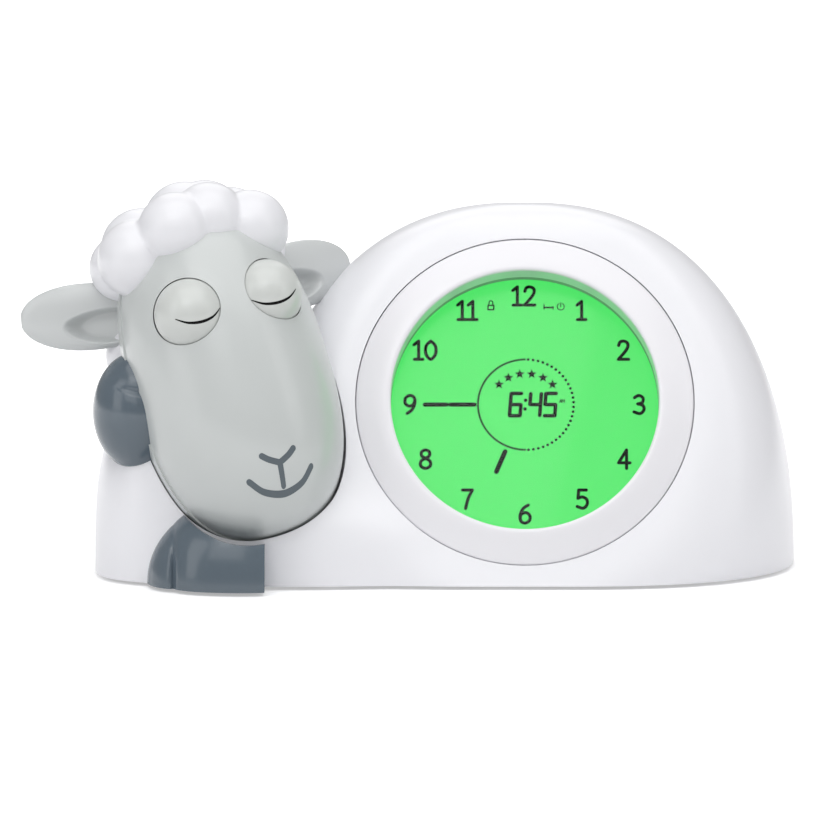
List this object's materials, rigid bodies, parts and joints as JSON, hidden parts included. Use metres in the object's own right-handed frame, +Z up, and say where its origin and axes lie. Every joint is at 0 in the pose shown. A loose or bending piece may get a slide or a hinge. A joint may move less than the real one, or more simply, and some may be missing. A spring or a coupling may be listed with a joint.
{
  "type": "alarm clock",
  "caption": "Domed alarm clock and night light with a leaning round display and a sleeping sheep whose eyes open.",
  "frame": {"origin": "middle of the bounding box's underside, on the surface that the rubber feet stand on", "axes": "+X to the right along the longest side, seen from the front; +Y to the back; +Z up; the display faces -Y"},
  "size_m": [0.2416, 0.0939, 0.1241],
  "materials": {
    "white_shell": "gloss",
    "ring": "gloss",
    "feet_rubber": "matte",
    "screw_steel": "satin",
    "window": "clear",
    "lcd": "lit green",
    "diffuser": "translucent",
    "frame_plastic": "satin",
    "board": "satin",
    "led": "gloss",
    "switch_black": "matte",
    "key_white": "gloss",
    "slider_grey": "satin",
    "cell": "satin",
    "face_grey": "gloss",
    "wool_white": "gloss",
    "ear_grey": "gloss",
    "hoof_slate": "gloss",
    "eye_white": "gloss",
    "lid_grey": "gloss",
    "gear_white": "satin",
    "bracket_slate": "satin"
  },
  "bodies": {
    "housing": {"front_shell": "white_shell", "rear_cover": "white_shell", "base_plate": "white_shell", "rubber_feet": "feet_rubber", "housing_screws": "screw_steel", "bezel_ring": "ring", "display_lens": "window", "lcd_panel": "lcd", "diffuser": "diffuser", "lcd_frame": "frame_plastic", "main_pcb": "board", "light_leds": "led", "board_screws": "screw_steel", "key_pcb": "board", "tact_switches": "switch_black", "switch_bodies": "screw_steel", "speaker": "switch_black", "usb_socket": "screw_steel", "batteries": "cell", "battery_contacts": "screw_steel", "face_shell": "face_grey", "head_back": "wool_white", "wool_cap": "wool_white", "left_ear": "ear_grey", "right_ear": "ear_grey", "upper_hoof": "hoof_slate", "lower_hoof": "hoof_slate", "neck_screws": "screw_steel", "idler_pin": "screw_steel", "gearmotor": "screw_steel", "eye_bracket": "bracket_slate", "bracket_screws": "screw_steel"},
    "eyes": {"eyeballs": "eye_white", "eyelids": "lid_grey", "eye_axle": "screw_steel", "eye_gear": "gear_white"},
    "idler": {"idler_gear": "gear_white"},
    "pinion": {"motor_pinion": "gear_white"},
    "key_set": {"key_set": "key_white"},
    "key_alarm": {"key_alarm": "key_white"},
    "key_nap": {"key_nap": "key_white"},
    "key_light": {"key_light": "key_white"},
    "key_plus": {"key_plus": "key_white"},
    "key_minus": {"key_minus": "key_white"},
    "power_slider": {"power_slider": "slider_grey"},
    "lock_slider": {"lock_slider": "slider_grey"},
    "battery_door": {"battery_door": "white_shell", "door_screw": "screw_steel"}
  },
  "joints": [
    {"name": "eye_roll", "type": "hinge", "parent": "housing", "child": "eyes", "pos_m": [-0.05593, -0.02669, 0.08804], "axis": [-0.9288, -0.3145, -0.1959], "range_deg": [0, 180]},
    {"name": "idler_spin", "type": "hinge", "parent": "housing", "child": "idler", "pos_m": [-0.05906, -0.01477, 0.08374], "axis": [-0.9288, -0.3145, -0.1959], "range_deg": [-80, 0]},
    {"name": "pinion_spin", "type": "hinge", "parent": "housing", "child": "pinion", "pos_m": [-0.05869, -0.00919, 0.07306], "axis": [-0.9288, -0.3145, -0.1959], "range_deg": [0, 240]},
    {"name": "key_set_press", "type": "slide", "parent": "housing", "child": "key_set", "axis": [0, -1, 0], "range_m": [0, 0.001], "stiffness_N_per_m": 300, "springref_m": -0.0005},
    {"name": "key_alarm_press", "type": "slide", "parent": "housing", "child": "key_alarm", "axis": [0, -1, 0], "range_m": [0, 0.001], "stiffness_N_per_m": 300, "springref_m": -0.0005},
    {"name": "key_nap_press", "type": "slide", "parent": "housing", "child": "key_nap", "axis": [0, -1, 0], "range_m": [0, 0.001], "stiffness_N_per_m": 300, "springref_m": -0.0005},
    {"name": "key_light_press", "type": "slide", "parent": "housing", "child": "key_light", "axis": [0, -1, 0], "range_m": [0, 0.001], "stiffness_N_per_m": 300, "springref_m": -0.0005},
    {"name": "key_plus_press", "type": "slide", "parent": "housing", "child": "key_plus", "axis": [0, -1, 0], "range_m": [0, 0.001], "stiffness_N_per_m": 300, "springref_m": -0.0005},
    {"name": "key_minus_press", "type": "slide", "parent": "housing", "child": "key_minus", "axis": [0, -1, 0], "range_m": [0, 0.001], "stiffness_N_per_m": 300, "springref_m": -0.0005},
    {"name": "power_slide", "type": "slide", "parent": "housing", "child": "power_slider", "axis": [1, 0, 0], "range_m": [0, 0.004]},
    {"name": "lock_slide", "type": "slide", "parent": "housing", "child": "lock_slider", "axis": [1, 0, 0], "range_m": [0, 0.004]},
    {"name": "door_lift", "type": "slide", "parent": "housing", "child": "battery_door", "axis": [0, 0, -1], "range_m": [0, 0.02]}
  ],
  "couplings": [
    {"joint": "idler_spin", "follows": "eye_roll", "ratio": -0.44444},
    {"joint": "pinion_spin", "follows": "eye_roll", "ratio": 1.3333}
  ]
}
